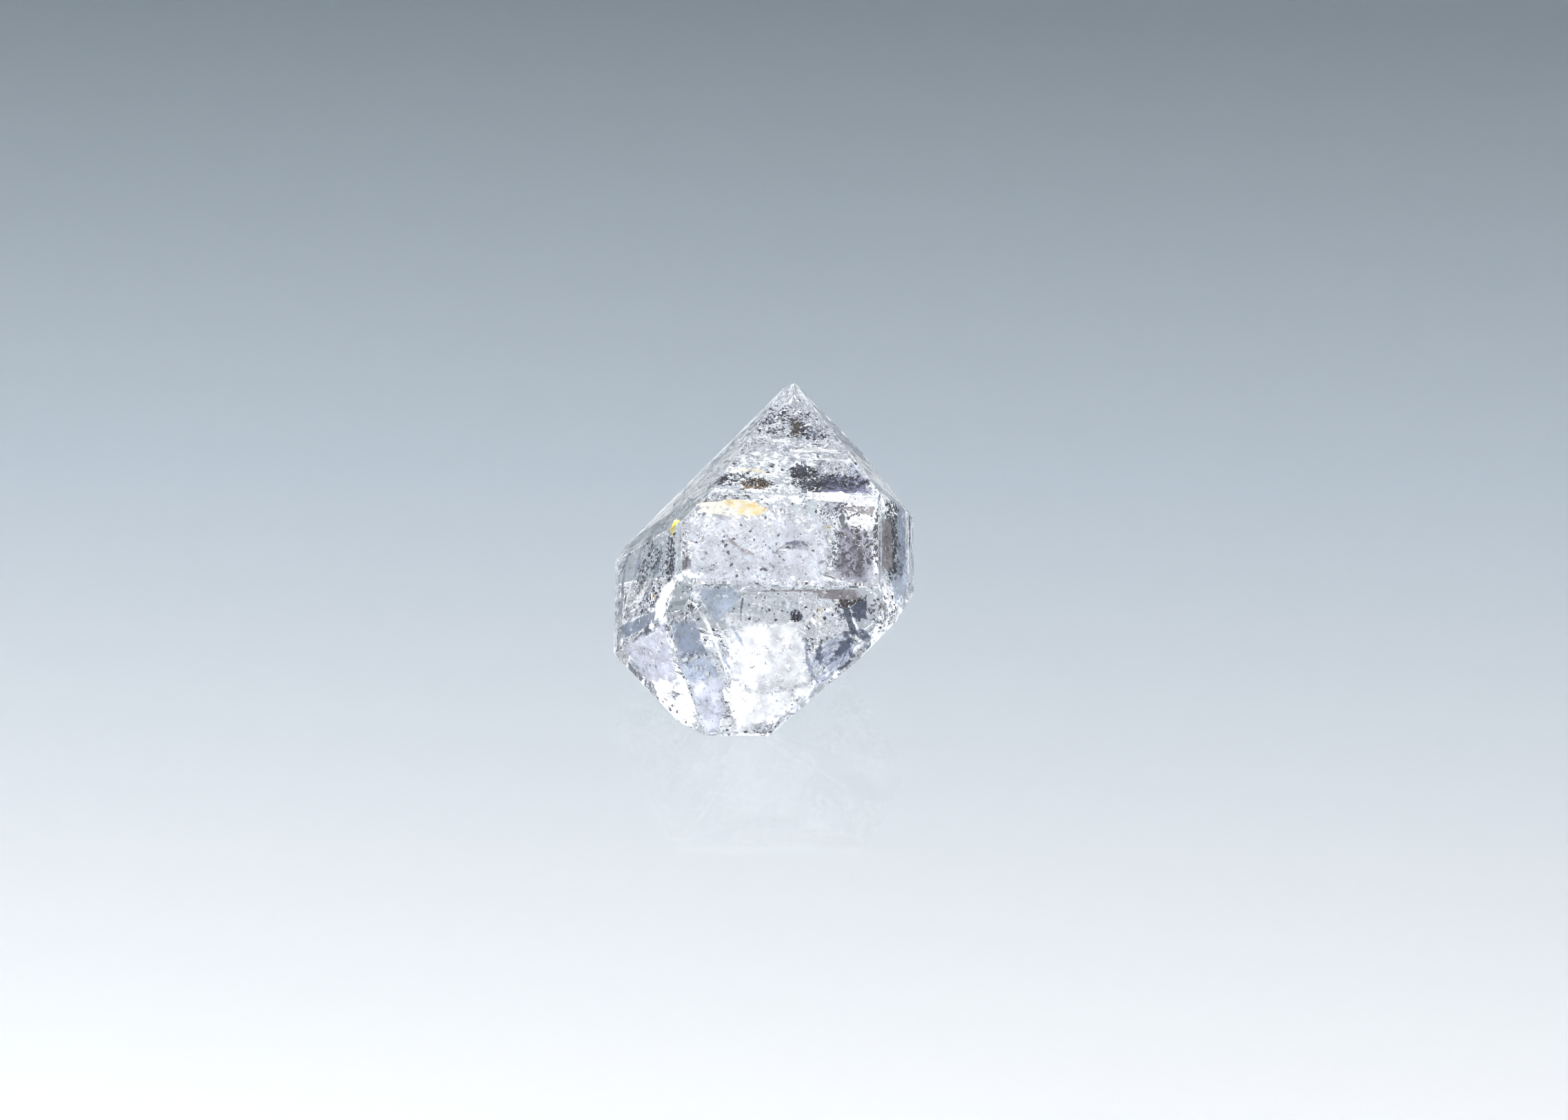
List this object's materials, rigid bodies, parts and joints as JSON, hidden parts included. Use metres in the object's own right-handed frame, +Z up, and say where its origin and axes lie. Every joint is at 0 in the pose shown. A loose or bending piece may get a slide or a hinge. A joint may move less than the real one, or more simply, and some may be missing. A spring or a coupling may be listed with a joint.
{
  "type": "herkimer diamond",
  "caption": "Clear, stubby quartz crystal with a point at both ends, lying on one lower end face; flat natural faces with growth terraces, ledges and a stepped hollow.",
  "frame": {"origin": "level with the resting face, under the middle of the crystal's box", "axes": "+Z up; +X to the viewer's right and -Y to the front as the picture shows it; the long axis lies in the YZ plane and leans back 51.8 degrees from +Z"},
  "size_m": [0.0128, 0.0148, 0.0091],
  "materials": {
    "clear_quartz": "natural glassy crystal faces",
    "healed_fracture": "silvery veil sealed in the crystal",
    "carbon_fleck": "dull black grains sealed in the crystal",
    "iron_stain": "thin golden film sealed in the crystal"
  },
  "bodies": {
    "root": {"quartz_crystal": "clear_quartz"}
  },
  "joints": []
}
